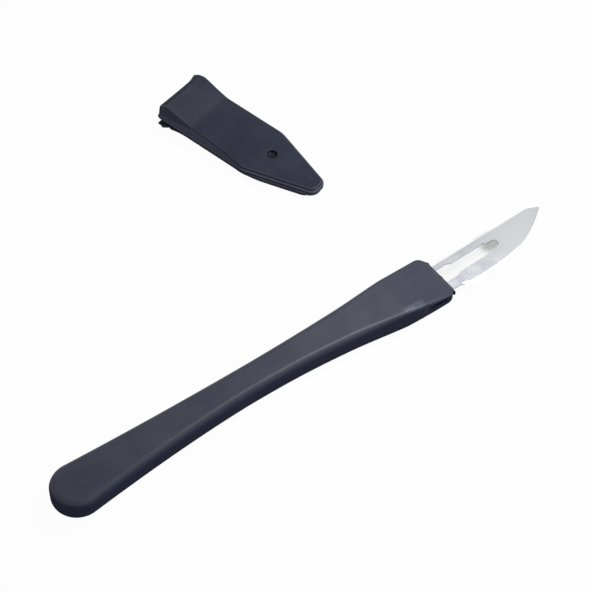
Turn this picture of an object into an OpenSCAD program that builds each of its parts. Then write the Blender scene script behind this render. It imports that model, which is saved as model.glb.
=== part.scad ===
// Disposable scalpel: a waisted handle moulded onto the tail of a steel blade,
// and the two-shell blade guard, taken off and lying beside it.
// Frame: X along the handle towards the blade, Z up, origin on the flat underside
// of the handle, below its waist. Millimetres.

/* [Handle] */
// Length from the butt to the front face
handle_l = 103.4; // [90:0.1:125]
// Thickness between the two flat faces
handle_t = 5.5; // [4.5:0.1:7]
// Width of the rounded butt
butt_w = 11.8; // [10:0.1:14]
// Width of the front, just behind its corners
front_w = 13.4; // [11.5:0.1:14.5]
// Distance from the waist to the butt
waist_from_butt = 50; // [42:1:56]
// Half width at the waist on the side of the blade's spine
waist_spine_side = 4.4; // [3:0.1:5]
// Half width at the waist on the side of the cutting edge
waist_edge_side = 3.15; // [2.4:0.1:4]
// How far the butt's centre lies towards the cutting edge
butt_offset = 0.65; // [0:0.1:1.5]
// How far the front's centre lies towards the cutting edge
front_offset = 0.15; // [0:0.1:1]
// Rounding of the long edges
edge_r = 1.5; // [0.8:0.1:2]

/* [Nose of the handle] */
// Length of the tapered nose that the guard slides over
nose_l = 13; // [9:0.5:16]
// Thickness of the nose at the front face
nose_t = 2.2; // [2:0.1:3.6]
// Rounding of the nose's edges
nose_edge_r = 0.5; // [0.3:0.1:0.8]
// Radius of the front's corners, seen from above
nose_corner_r = 2.2; // [1:0.1:3]
// Depth of the groove along each side of the nose, at the front
nose_groove_d = 0.8; // [0.3:0.1:1.2]
// Length of that groove
nose_groove_l = 9; // [6:0.5:11]
// How far the side has run in where the groove starts, from its width at the front
nose_groove_side = 0.5; // [0.2:0.1:1]
// How far the land round the blade stands out of the front face
land_h = 0.2; // [0.1:0.1:0.8]
// How far the land reaches past the blade's edges
land_margin = 0.3; // [0.2:0.1:0.8]
// How much thinner than the nose the land is, on each face
land_step = 0.2; // [0.2:0.1:0.6]

/* [Blade] */
// Length of blade that shows
blade_l = 32.4; // [28:0.1:36]
// Length of tail inside the handle
tail_l = 11; // [8:0.5:14]
// Thickness of the steel
blade_t = 0.5; // [0.35:0.05:0.7]
// Distance from the slot's centre line to the spine
spine_y = 3.4; // [3:0.1:4]
// Distance from the slot's centre line to the deepest point of the belly
belly_y = 6.1; // [5.6:0.1:6.4]
// Distance from the slot's centre line to the tail's lower edge
tail_y = 4.6; // [4:0.1:5]
// Where the belly is deepest, from the handle's front face
belly_x = 8.9; // [8:0.1:12]
// Radius of the curved cutting edge
edge_arc_r = 39; // [34:0.5:46]
// Width of the ground bevel
bevel_w = 0.8; // [0.4:0.1:1.2]
// Where the heel starts, from the handle's front face
heel_x = 4.8; // [3.5:0.1:5]
// Run of the slanted choil between the tail and the heel
choil_run = 2; // [0.5:0.1:3]
// Run of the slanted end of the tail
tail_slant = 2.5; // [1:0.1:4]
// Where the straight clip starts, back from the tip
clip_l = 3.2; // [3:0.1:6]
// Turn of the blade towards its spine
blade_turn = 1.8; // [0:0.1:3]
// Offset of the blade from the handle's axis, towards the cutting edge
blade_offset = 0.4; // [0:0.1:0.5]

/* [Slot in the blade] */
// Width of the wide rear part
slot_rear_w = 4.3; // [3.9:0.1:4.6]
// Width of the middle part
slot_mid_w = 3.2; // [2.8:0.1:3.6]
// Width of the narrow head
slot_head_w = 2.1; // [1.6:0.1:2.4]
// End of the wide part, from the handle's front face
slot_rear_end = 3.9; // [3.5:0.1:5]
// End of the middle part, from the handle's front face
slot_mid_end = 13.9; // [12:0.1:16]
// End of the head, from the handle's front face
slot_head_end = 17.7; // [16.5:0.1:19]
// How far the middle part reaches further on the side of the spine
slot_mid_skew = 1.1; // [0:0.1:2]
// Length of the slope between the wide and the middle part
slot_ramp = 1.1; // [0.5:0.1:1.5]
// Steel left between the slot and the end of the tail
slot_back = 4; // [3:0.1:6]

/* [Guard] */
// How far the front of the nose comes into the guard
seat_x = 6; // [4:0.5:8]
// Length of the guard in front of the blade's tip, with the nose seated
tip_room = 6.1; // [4:0.1:9]
// Gap left on each side of the nose inside the collar
nose_gap = 0.15; // [0.1:0.05:0.6]
// Thickness of the closed guard between its panels
guard_t = 2.7; // [2.6:0.1:4]
// Length of the flared collar at the mouth
collar_l = 9.3; // [8:0.1:11]
// How far the upper panel rises to the mouth
flare_up = 2.7; // [2:0.1:3.5]
// How far the lower panel drops to the mouth
flare_down = 2.6; // [2:0.1:3.5]
// How far each side of the collar spreads to the mouth
flare_side = 0.4; // [0:0.1:0.8]
// Rounding of the collar's long edges
collar_r = 0.5; // [0.3:0.1:1]
// How far each side of the collar leans in on its way up
collar_draft = 0.7; // [0:0.1:1]
// Where the sides start to run in, from the mouth
shoulder_x = 26.6; // [24:0.1:30]
// Width of the panel at the tip
guard_tip_w = 3.9; // [3.4:0.1:8]
// Cut across each corner of the tip
tip_corner = 1.2; // [0.8:0.1:2]
// Chamfer along the panel's edge
panel_chamfer = 0.3; // [0.2:0.05:0.5]
// Wall of the shells
guard_wall = 0.6; // [0.6:0.05:0.8]
// Depth of the hollow in the mouth's edge, seen from above
mouth_hollow = 0.5; // [0.2:0.1:1]
// How far the lower shell's mouth stands back
lower_setback = 0.7; // [0.5:0.1:2.5]
// Roll of the lip at the mouth
lip_roll = 0.9; // [0.3:0.1:1.2]

/* [Seam of the guard] */
// How far the rim stands out of the shells
rim_out = 0.45; // [0.2:0.05:0.7]
// Thickness of each shell's rim
rim_h = 0.6; // [0.4:0.05:0.8]
// Opening of the seam at the mouth
seam_gape = 1.4; // [0.4:0.1:1.6]
// Length of that opening
seam_gape_l = 6; // [3:0.5:8]

/* [Dimple] */
// Diameter of the round dimple in the upper shell
dimple_d = 2.8; // [2:0.1:3.2]
// Its depth
dimple_h = 0.5; // [0.3:0.05:0.55]
// Its distance from the mouth
dimple_x = 29.3; // [24:0.1:33]
// Its distance from the middle line
dimple_y = 0.25; // [0:0.05:1]

/* [Where the guard lies] */
// Middle of the guard's mouth along the handle's axis
guard_at_x = 36.9; // [20:0.1:60]
// Middle of the guard's mouth across from the handle
guard_at_y = 81.4; // [60:0.1:100]
// Direction of the guard's tip
guard_turn = -75.1; // [-90:0.1:-60]

/* [Hidden] */

// Clearance between the steel and the moulded handle
grip_gap = 0.02;
// Overlap that cuts reach past a face
over = 0.5;

front_x = handle_l - waist_from_butt;
guard_w = front_w + 2 * (nose_gap + guard_wall);
guard_l = seat_x + blade_l + tip_room;
butt_r = butt_w / 2;
mid_z = handle_t / 2;
spine_front = front_w / 2 - front_offset;
edge_front = front_w / 2 + front_offset;

// Steps of each stretch of the handle's outline, and of its edge rounding
butt_steps = 12;
flank_steps = 26;
corner_steps = 6;
round_steps = 5;

// Exponents of the hollow flanks: behind the waist and in front of it
spine_rear_p = 2.2;
spine_front_p = 1.75;
edge_rear_p = 1.6;
edge_front_p = 1.3;

function smooth(t) = t * t * (3 - 2 * t);

// Half width of one flank at a distance s from the butt. The rear stretch starts
// where the butt's round end has turned to the flank's own slope.
function rear_slope(half_butt, half_waist, p) =
    atan(p * (half_butt - half_waist) / (waist_from_butt - butt_r));
function rear_start(slope) = butt_r + butt_r * sin(slope);
function flank(s, start, at_start, at_waist, at_front, rear_p, front_p, s_curve) =
    s < waist_from_butt
    ? at_waist + (at_start - at_waist) * pow((waist_from_butt - s) / (waist_from_butt - start), rear_p)
    : let (t = pow((s - waist_from_butt) / (handle_l - waist_from_butt), front_p))
      at_waist + (at_front - at_waist) * (s_curve ? smooth(t) : t);

// One side of the outline, from the butt's apex to the middle of the front face,
// as [distance from the butt, distance from the axis]
function side(centre, half_waist, half_front, rear_p, front_p, s_curve) =
    let (slope = rear_slope(butt_r + centre, half_waist, rear_p),
         start = rear_start(slope),
         at_start = centre + butt_r * cos(slope),
         stop = handle_l - nose_corner_r,
         last = flank(stop, start, at_start, half_waist, half_front, rear_p, front_p, s_curve))
    concat(
        [for (i = [0 : butt_steps]) let (a = i * (90 + slope) / butt_steps)
            [butt_r - butt_r * cos(a), centre + butt_r * sin(a)]],
        [for (i = [1 : flank_steps]) let (s = start + (stop - start) * i / flank_steps)
            [s, flank(s, start, at_start, half_waist, half_front, rear_p, front_p, s_curve)]],
        [for (i = [1 : corner_steps]) let (a = i * 90 / corner_steps)
            [stop + nose_corner_r * sin(a), last - nose_corner_r * (1 - cos(a))]]);

spine_side = side(-butt_offset, waist_spine_side, spine_front, spine_rear_p, spine_front_p, false);
edge_side = side(butt_offset, waist_edge_side, edge_front, edge_rear_p, edge_front_p, true);
side_n = len(spine_side);

// The closed outline: along the spine side to the front, back along the edge side
outline = concat([for (p = spine_side) [p[0] - waist_from_butt, p[1]]],
                 [for (i = [side_n - 1 : -1 : 1]) [edge_side[i][0] - waist_from_butt, -edge_side[i][1]]]);
outline_n = len(outline);

// Share of the nose's taper at x, and the rounding of the edges there
function nose_share(x) = min(1, max(0, (x - front_x + nose_l) / nose_l));
function taper(x) = nose_share(x) * (handle_t - nose_t) / 2;
function round_at(x) = edge_r + (nose_edge_r - edge_r) * nose_share(x);

// Outward normal of the outline at point i
function normal(i) =
    let (a = outline[(i + outline_n - 1) % outline_n], b = outline[(i + 1) % outline_n],
         d = b - a, n = norm(d))
    [-d[1] / n, d[0] / n];

// One ring of the handle's skin. turn goes from -90 at the lower face, through the
// upright side, to 90 at the upper face; upper tells on which half the ring lies.
function ring(turn, upper) =
    [for (i = [0 : outline_n - 1])
        let (p = outline[i], r = round_at(p[0]), n = normal(i),
             q = p - n * r * (1 - cos(turn)),
             z_edge = upper ? handle_t - taper(p[0]) - r : taper(p[0]) + r)
        [q[0], q[1], z_edge + r * sin(turn)]];

rings = concat([for (i = [0 : round_steps]) ring(-90 + 90 * i / round_steps, false)],
               [for (i = [0 : round_steps]) ring(90 * i / round_steps, true)]);
ring_count = len(rings);

// Triangles of a face between the two sides of one ring
function face_strip(k) =
    let (o = k * outline_n)
    [for (i = [0 : side_n - 2])
        let (a = o + i, b = o + i + 1,
             c = o + (outline_n - i) % outline_n, d = o + outline_n - i - 1)
        each (i == 0 ? [[a, b, d]] : [[a, b, c], [b, d, c]])];

function flip(faces) = [for (f = faces) [f[2], f[1], f[0]]];

module handle_skin() {
    polyhedron(
        points = [for (r = rings) each r],
        faces = concat(
            flip(face_strip(0)),
            [for (k = [0 : ring_count - 2]) for (i = [0 : outline_n - 1])
                let (a = k * outline_n + i, b = k * outline_n + (i + 1) % outline_n,
                     c = a + outline_n, d = b + outline_n)
                each [[a, b, c], [b, d, c]]],
            face_strip(ring_count - 1)));
}

// Groove along one side of the nose, under the edge of its upper face: it starts
// flush with the side, gets deeper to the front, and its mouth closes on the way
module nose_groove(y_out, sign) {
    rear = front_x - nose_groove_l;
    fore = front_x + over;
    rear_high = handle_t / 2 - taper(rear) - round_at(rear);
    fore_high = nose_t / 2 - nose_edge_r;
    rear_low = -0.15 * nose_t;
    fore_low = fore_high - 0.3 * nose_edge_r;
    intersection() {
        translate([0, y_out, mid_z])
            rotate([90, 0, 0])
                linear_extrude(height = 4 * nose_groove_d, center = true)
                    polygon([[rear, rear_low], [rear, rear_high], [fore, fore_high],
                             [fore, fore_low]]);
        linear_extrude(height = handle_t)
            polygon([[rear, y_out - sign * nose_groove_side], [fore, y_out - sign * nose_groove_d],
                     [fore, y_out + sign * over], [rear, y_out + sign * over]]);
    }
}

// Places what is drawn in the blade's own frame: origin on the front face
module on_blade_axis() {
    translate([front_x, -blade_offset, mid_z])
        rotate([0, 0, blade_turn])
            children();
}

// Height of the cutting edge's arc at x
function edge_y(x) =
    -belly_y + edge_arc_r - sqrt(edge_arc_r * edge_arc_r - (x - belly_x) * (x - belly_x));

// Outline of the blank, larger by gap: tail, choil step, heel, belly, tip and clip
module blank_outline(gap) {
    belly_steps = 40;
    polygon(concat(
        [[-tail_l - gap, spine_y + gap],
         [-tail_l + tail_slant - gap, -tail_y - gap],
         [heel_x - choil_run, -tail_y - gap],
         [heel_x, edge_y(heel_x) - gap]],
        [for (i = [1 : belly_steps]) let (x = heel_x + (blade_l - heel_x) * i / belly_steps)
            [x, edge_y(x) - gap]],
        [[blade_l - clip_l, spine_y + gap]]));
}

// Outline of the slot: wide rear part, middle part and narrow head with a round end
module slot_outline(gap) {
    head_r = 0.5;
    back = slot_back - tail_l + gap;
    wide = slot_rear_w / 2 - gap;
    mid = slot_mid_w / 2 - gap;
    head = slot_head_w / 2 - gap;
    polygon([[back, wide], [back, -wide],
             [slot_rear_end, -wide], [slot_rear_end + slot_ramp, -mid],
             [slot_mid_end, -mid], [slot_mid_end + slot_ramp / 2, -head],
             [slot_head_end - head_r, -head], [slot_head_end, -head + head_r],
             [slot_head_end, head - head_r], [slot_head_end - head_r, head],
             [slot_mid_end + slot_mid_skew, head], [slot_mid_end + slot_mid_skew, mid],
             [slot_rear_end + slot_ramp, mid], [slot_rear_end, wide]]);
}

module handle() {
    color([0.17, 0.175, 0.225]) {
        difference() {
            union() {
                handle_skin();
                land();
            }
            nose_groove(spine_front, 1);
            nose_groove(-edge_front, -1);
            // pocket of the tail, with the moulding left standing through the slot
            on_blade_axis()
                linear_extrude(height = blade_t + 2 * grip_gap, center = true)
                    difference() {
                        intersection() {
                            blank_outline(grip_gap);
                            translate([-2 * tail_l, -front_w])
                                square([2 * tail_l + land_h + over, 2 * front_w]);
                        }
                        slot_outline(grip_gap);
                    }
        }
    }
}

// The land round the blade on the front face
module land() {
    land_t = nose_t - 2 * land_step;
    land_w = spine_y + tail_y + 2 * land_margin;
    depth = 1;
    translate([front_x - depth, -blade_offset - tail_y - land_margin, mid_z - land_t / 2])
        cube([depth + land_h, land_w, land_t]);
}

module blade() {
    edge_t = 0.06;
    color([0.78, 0.79, 0.81])
        on_blade_axis()
            difference() {
                intersection() {
                    linear_extrude(height = blade_t, center = true) blank_outline(0);
                    union() {
                        // bevel on both faces, turned about the centre of the cutting arc
                        translate([belly_x, edge_arc_r - belly_y, 0])
                            rotate_extrude($fn = 240)
                                polygon([[0, -blade_t], [edge_arc_r - bevel_w, -blade_t / 2],
                                         [edge_arc_r, -edge_t / 2], [edge_arc_r, edge_t / 2],
                                         [edge_arc_r - bevel_w, blade_t / 2], [0, blade_t]]);
                        // the tail, up to the choil, isn't ground
                        translate([-2 * tail_l, -front_w, -blade_t])
                            cube([2 * tail_l + heel_x - choil_run, 2 * front_w, 2 * blade_t]);
                    }
                }
                linear_extrude(height = 2 * blade_t, center = true) slot_outline(0);
            }
}

// The guard is drawn closed, seam at z = 0, mouth at x = 0, tip towards +X, and
// laid down so that the collar's lower lip and the tip touch the table
lip_x = lower_setback + lip_roll;
tip_x = guard_l - rim_out - panel_chamfer;
lay_angle = atan((collar_half(lip_x, flare_down) - guard_t / 2) / (tip_x - lip_x));
lay_rise = collar_half(lip_x, flare_down) * cos(lay_angle) + lip_x * sin(lay_angle);
module laid() {
    translate([guard_at_x, guard_at_y, lay_rise])
        rotate([0, 0, guard_turn])
            rotate([0, lay_angle, 0])
                children();
}

// Outline of the guard at a distance grow outside its panel, from x = start
module guard_outline(start, grow) {
    w = guard_w / 2 + grow;
    tip = guard_tip_w / 2 + grow;
    end = guard_l - rim_out + grow;
    polygon([[start, -w], [shoulder_x, -w], [end - tip_corner, -tip], [end, -tip + tip_corner],
             [end, tip - tip_corner], [end - tip_corner, tip], [shoulder_x, w], [start, w]]);
}

// Upper half of the outer form; the lower half is its mirror image
module shell_outer(start, flare) {
    half = guard_t / 2;
    hull() {
        linear_extrude(height = half - panel_chamfer) guard_outline(collar_l - over, 0);
        linear_extrude(height = half) guard_outline(collar_l - over / 2, -panel_chamfer);
    }
    collar_outer(start, flare);
    linear_extrude(height = rim_h) guard_outline(start, rim_out);
}

// Half height and half width of the collar's outside at x
function collar_half(x, flare) = guard_t / 2 + flare * (collar_l - x) / collar_l;
function collar_side(x) = guard_w / 2 + flare_side * (collar_l - x) / collar_l;

// A thin slice across the collar at x: half width at its foot, height, and rounding
module collar_slice(x, half_w, height, r) {
    slice_t = 0.02;
    steps = 4;
    foot = rim_h / 2;
    top = half_w - collar_draft;
    translate([x, 0, 0])
        rotate([90, 0, 90])
            linear_extrude(height = slice_t)
                polygon(concat(
                    [[-half_w, -over], [half_w, -over], [half_w, foot]],
                    [for (i = [0 : steps]) let (a = 90 * i / steps)
                        [top - r + r * cos(a), height - r + r * sin(a)]],
                    [for (i = [steps : -1 : 0]) let (a = 90 * i / steps)
                        [-top + r - r * cos(a), height - r + r * sin(a)]],
                    [[-half_w, foot]]));
}

// The collar: it rises to the mouth, where its lip slopes down
module collar_outer(start, flare) {
    rolled = start + lip_roll;
    root = collar_l + over;
    intersection() {
        hull() {
            collar_slice(root, collar_side(root), collar_half(root, flare), collar_r);
            collar_slice(rolled, collar_side(rolled), collar_half(rolled, flare), collar_r);
            collar_slice(start, collar_side(rolled) - lip_roll / 4,
                         collar_half(rolled, flare) - lip_roll / 2, collar_r);
        }
        translate([start, -guard_w, 0]) cube([guard_l, 2 * guard_w, 2 * guard_w]);
    }
}

// Hollow for the nose of the handle, with a step where the nose comes to rest, and
// the chamber of the blade behind it
module shell_hollow(flare) {
    inner = guard_w / 2 - guard_wall;
    chamber = guard_t / 2 - guard_wall;
    inner_tip = guard_tip_w / 2 - guard_wall / 2;
    inner_end = guard_l - rim_out - guard_wall;
    hull() {
        collar_slice(-over / 2, inner + flare_side, collar_half(lip_roll, flare) - guard_wall,
                     collar_r);
        collar_slice(seat_x, inner + nose_gap, nose_t / 2 + nose_gap, collar_r);
    }
    translate([0, 0, -over])
        linear_extrude(height = over + chamber)
            polygon([[0, -inner], [shoulder_x, -inner], [inner_end, -inner_tip],
                     [inner_end, inner_tip], [shoulder_x, inner], [0, inner]]);
}

// Hollow in the mouth's edge, seen from above
module mouth_cut(start) {
    hollow_r = (guard_w * guard_w / 4 + mouth_hollow * mouth_hollow) / (2 * mouth_hollow);
    translate([start + mouth_hollow - hollow_r, 0, -over])
        cylinder(h = guard_t + 2 * (flare_up + flare_down), r = hollow_r, $fn = 200);
}

// Wedge that opens the seam at the mouth
module seam_wedge(start) {
    rotate([90, 0, 0])
        linear_extrude(height = 2 * guard_w, center = true)
            polygon([[start - over, -over], [start - over, seam_gape / 2], [start + seam_gape_l, 0],
                     [start + seam_gape_l, -over]]);
}

module shell(start, flare) {
    difference() {
        shell_outer(start, flare);
        shell_hollow(flare);
        mouth_cut(start);
        seam_wedge(start);
    }
}

module guard_upper_shell() {
    color([0.17, 0.175, 0.225])
        laid()
            difference() {
                shell(0, flare_up);
                translate([dimple_x, dimple_y, guard_t / 2 - dimple_h])
                    cylinder(h = dimple_h + over, d = dimple_d, $fn = 48);
            }
}

module guard_lower_shell() {
    color([0.16, 0.165, 0.215])
        laid()
            mirror([0, 0, 1])
                shell(lower_setback, flare_down);
}

handle();
blade();
guard_upper_shell();
guard_lower_shell();
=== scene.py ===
"""Dresses a disposable scalpel and its taken-off blade guard: handle, blade and two guard shells."""

import logging
import math
from dataclasses import dataclass
from enum import Enum
from typing import Callable, Iterable, Sequence

import bmesh
import bpy
from mathutils import Matrix, Vector

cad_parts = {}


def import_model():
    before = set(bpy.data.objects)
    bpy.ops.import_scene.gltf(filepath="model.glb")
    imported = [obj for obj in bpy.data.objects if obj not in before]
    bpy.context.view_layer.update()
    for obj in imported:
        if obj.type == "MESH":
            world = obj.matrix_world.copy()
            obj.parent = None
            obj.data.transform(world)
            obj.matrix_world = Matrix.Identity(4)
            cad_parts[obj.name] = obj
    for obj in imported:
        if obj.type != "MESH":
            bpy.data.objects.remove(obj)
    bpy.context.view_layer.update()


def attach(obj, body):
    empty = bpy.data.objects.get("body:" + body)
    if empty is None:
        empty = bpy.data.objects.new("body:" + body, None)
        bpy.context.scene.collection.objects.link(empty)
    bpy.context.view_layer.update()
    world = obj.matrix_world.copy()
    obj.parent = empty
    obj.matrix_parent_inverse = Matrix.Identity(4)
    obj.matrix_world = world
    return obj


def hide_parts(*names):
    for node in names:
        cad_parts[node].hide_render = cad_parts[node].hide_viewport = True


log = logging.getLogger("scalpel")

MM = 0.001
MERGE = 1e-4
SHARP = 35.0
SHARP_GUARD = 38.0

Colour = tuple[float, float, float, float]
Point = tuple[float, float]


# Shader graphs

class Value:
    """A socket of a shader graph on which Python's operators add Math nodes."""

    def __init__(self, graph: "Graph", socket: bpy.types.NodeSocket) -> None:
        """Wraps an output socket of a graph, to which new nodes go."""
        self.graph = graph
        self.socket = socket

    def _math(self, operation: str, left: object, right: object) -> "Value":
        """The result of one Math node with two inputs."""
        return self.graph.node("ShaderNodeMath", {"operation": operation}, {0: left, 1: right})

    def __add__(self, other: object) -> "Value":
        """Sum."""
        return self._math("ADD", self, other)

    def __sub__(self, other: object) -> "Value":
        """Difference."""
        return self._math("SUBTRACT", self, other)

    def __rsub__(self, other: object) -> "Value":
        """Difference, from the right."""
        return self._math("SUBTRACT", other, self)

    def __mul__(self, other: object) -> "Value":
        """Product."""
        return self._math("MULTIPLY", self, other)

    __radd__ = __add__
    __rmul__ = __mul__

    def clip(self) -> "Value":
        """This value held between 0 and 1."""
        return self.graph.node("ShaderNodeClamp", {}, {"Value": self})


class Graph:
    """The node tree of a material or of the surroundings."""

    def __init__(self, owner: bpy.types.Material | bpy.types.World) -> None:
        """Starts an empty tree.

        Args:
            owner: The material or world that the tree belongs to.
        """
        owner.use_nodes = True
        self.tree = owner.node_tree
        self.tree.nodes.clear()

    def node(self, kind: str, settings: dict[str, object], inputs: dict[object, object],
             out: int | str = 0) -> Value:
        """Adds a node.

        Args:
            kind: The node's type.
            settings: Its settings, which are set first.
            inputs: Values or links by socket name or number.
            out: The output to give back.

        Returns:
            The chosen output.
        """
        made = self.tree.nodes.new(kind)
        for key, setting in settings.items():
            setattr(made, key, setting)
        for key, value in inputs.items():
            if isinstance(value, Value):
                self.tree.links.new(value.socket, made.inputs[key])
            else:
                made.inputs[key].default_value = value
        return Value(self, made.outputs[out])

    def finish(self, kind: str, shader: Value) -> None:
        """Joins a shader to a new output of the given type."""
        output = self.tree.nodes.new(kind)
        self.tree.links.new(shader.socket, output.inputs["Surface"])

    def seen(self) -> Value:
        """Tells rays by which the background is seen from those that light the object.

        Returns:
            1 for the first kind of ray and 0 for the other.
        """
        rays = [self.node("ShaderNodeLightPath", {}, {}, f"Is {kind} Ray")
                for kind in ("Camera", "Glossy", "Transmission")]
        return (rays[0] + rays[1] + rays[2]).clip()

    def place(self, scale: Sequence[float] = (1, 1, 1), turn: float = 0.0) -> Value:
        """Object coordinates in millimetres.

        Args:
            scale: Stretch along each axis.
            turn: Angle about the vertical axis, in radians.

        Returns:
            The coordinates.
        """
        where = self.node("ShaderNodeTexCoord", {}, {}, "Object")
        turned = self.node("ShaderNodeMapping", {}, {"Vector": where, "Rotation": (0, 0, turn)})
        return self.node("ShaderNodeVectorMath", {"operation": "MULTIPLY"},
                         {0: turned, 1: [1000 * s for s in scale]})

    def axis(self, index: int) -> Value:
        """The object coordinate along one axis, in millimetres."""
        return self.node("ShaderNodeSeparateXYZ", {}, {0: self.place()}, index)

    def attribute(self, name: str) -> Value:
        """A number that the mesh holds under a name."""
        return self.node("ShaderNodeAttribute", {"attribute_name": name}, {}, "Fac")

    def noise(self, vector: Value, scale: float, detail: float = 4.0, rough: float = 0.5) -> Value:
        """Noise between 0 and 1, by its waves to the unit, its octaves and how strong the fine ones are."""
        return self.node("ShaderNodeTexNoise", {},
                         {"Vector": vector, "Scale": scale, "Detail": detail, "Roughness": rough})

    def band(self, value: Value, low: float, high: float) -> Value:
        """A smooth step from 0, where the value is low, to 1, where it is high."""
        return self.node("ShaderNodeMapRange", {"interpolation_type": "SMOOTHSTEP"},
                         {"Value": value, "From Min": low, "From Max": high})

    def window(self, value: Value, rise: Point, fall: Point) -> Value:
        """1 where the value is between a smooth rise and a smooth fall, and 0 outside them."""
        return self.band(value, *rise) * (1 - self.band(value, *fall))

    def mix(self, factor: object, first: object, second: object) -> Value:
        """A mix of two colours, by the share of the second."""
        return self.node("ShaderNodeMix", {"data_type": "RGBA"}, {0: factor, 6: first, 7: second}, 2)


def shade(red: float, green: float, blue: float) -> Colour:
    """A colour with full opacity."""
    return (red, green, blue, 1.0)


@dataclass(frozen=True)
class CharcoalPlastic:
    """Satin charcoal-blue plastic as it leaves the mould.

    Its colour drifts from dark to light. Rounded edges get a painted highlight, a paler colour, and steep
    walls get a matt colour of their own,
    set for how light falls on them: painted light and shade. The mesh says where they are, in two
    attributes: side, and another that holds painted shade for the dimple.
    """

    name: str
    dark: Colour
    light: Colour
    roughness: float
    shine: float
    # colour of the steep walls, set for how light falls on them: painted light and shade
    side: Colour
    # how strongly rounded edges get their painted highlight
    edge_highlight: float
    # whether the nose gets its painted highlight patch and its bump
    marks: bool
    # colour of the painted highlight on rounded edges
    highlight_and_wear_tone: Colour = shade(0.085, 0.090, 0.115)
    # colour of the painted highlight patch on the nose
    patch_highlight_tone: Colour = shade(0.105, 0.110, 0.150)
    shadow: Colour = shade(0.004, 0.004, 0.007)
    skin_h: float = 0.010
    streak_h: float = 0.008
    drift_h: float = 0.05

    def make(self) -> bpy.types.Material:
        """Builds the material.

        Returns:
            The material.
        """
        material = bpy.data.materials.new(self.name)
        graph = Graph(material)
        even = graph.place()
        cloud = graph.noise(even, 0.11, 3.0, 0.55)
        skin = graph.noise(even, 3.4, 4.0, 0.6)
        streak = graph.noise(graph.place((0.14, 1.3, 1), 0.1), 1.0, 4.0, 0.6)
        tone = graph.band(cloud * 0.55 + streak * 0.25 + skin * 0.2, 0.34, 0.66)
        colour = graph.mix(tone, self.dark, self.light)
        roughness = self.roughness + (skin - 0.5) * 0.1 + (streak - 0.5) * 0.1
        height = skin * self.skin_h + streak * self.streak_h
        side = graph.attribute("side")
        # Painted highlight: rounded edges, where the normal leans a little from the vertical, get a paler
        # colour.
        rounded = graph.window(side, (0.09, 0.14), (0.22, 0.42))
        colour = graph.mix(rounded * self.edge_highlight, colour, self.highlight_and_wear_tone)
        if self.marks:
            # Painted highlight: a pale ragged patch near the nose, with less roughness and a slight bump.
            painted_highlight, drift = self._nose_highlight(graph)
            colour = graph.mix(painted_highlight * 0.75, colour, self.patch_highlight_tone)
            roughness = roughness - painted_highlight * 0.06
            height = height + drift * self.drift_h
        # Painted shade: the dimple's floor and wall are mixed towards near black.
        painted_shade = graph.attribute("painted_shade")
        bump = graph.node("ShaderNodeBump", {}, {"Strength": 0.5, "Distance": MM, "Height": height})
        top = graph.node("ShaderNodeBsdfPrincipled", {}, {
            "Base Color": graph.mix(painted_shade, colour, self.shadow), "Roughness": roughness.clip(),
            "Specular IOR Level": self.shine, "Normal": bump})
        # Steep walls: a matt copy of the plastic in its own colour, set for how light falls on them:
        # painted light and shade.
        wall = graph.node("ShaderNodeBsdfPrincipled", {}, {
            "Base Color": graph.mix(painted_shade, self.side, self.shadow), "Roughness": 0.7,
            "Specular IOR Level": 0.0, "Normal": bump})
        steep = graph.band(side, 0.2, 0.6)
        graph.finish("ShaderNodeOutputMaterial",
                     graph.node("ShaderNodeMixShader", {}, {0: steep, 1: top, 2: wall}))
        return material

    def _nose_highlight(self, graph: Graph) -> tuple[Value, Value]:
        """A painted highlight: pale ragged patches along the near edge, where the nose of the handle starts
        to taper, with a slight bump under them.

        Args:
            graph: The graph.

        Returns:
            How much the painted highlight shows, and the bump's height.
        """
        ragged = graph.noise(graph.place((0.5, 1.7, 1), -0.35), 1.0, 6.0, 0.72)
        along = graph.axis(0) + (ragged - 0.5) * 9.0
        across = graph.axis(1)
        patch = graph.window(along, (37.0, 41.5), (43.5, 46.5)) * \
            graph.band(across + (ragged - 0.5) * 1.5, -3.7, -4.9)
        below_edge = graph.band(across, -6.5, -5.7)
        painted_highlight = (patch * below_edge * graph.band(ragged, 0.36, 0.58)).clip()
        return painted_highlight, patch * ragged


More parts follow.
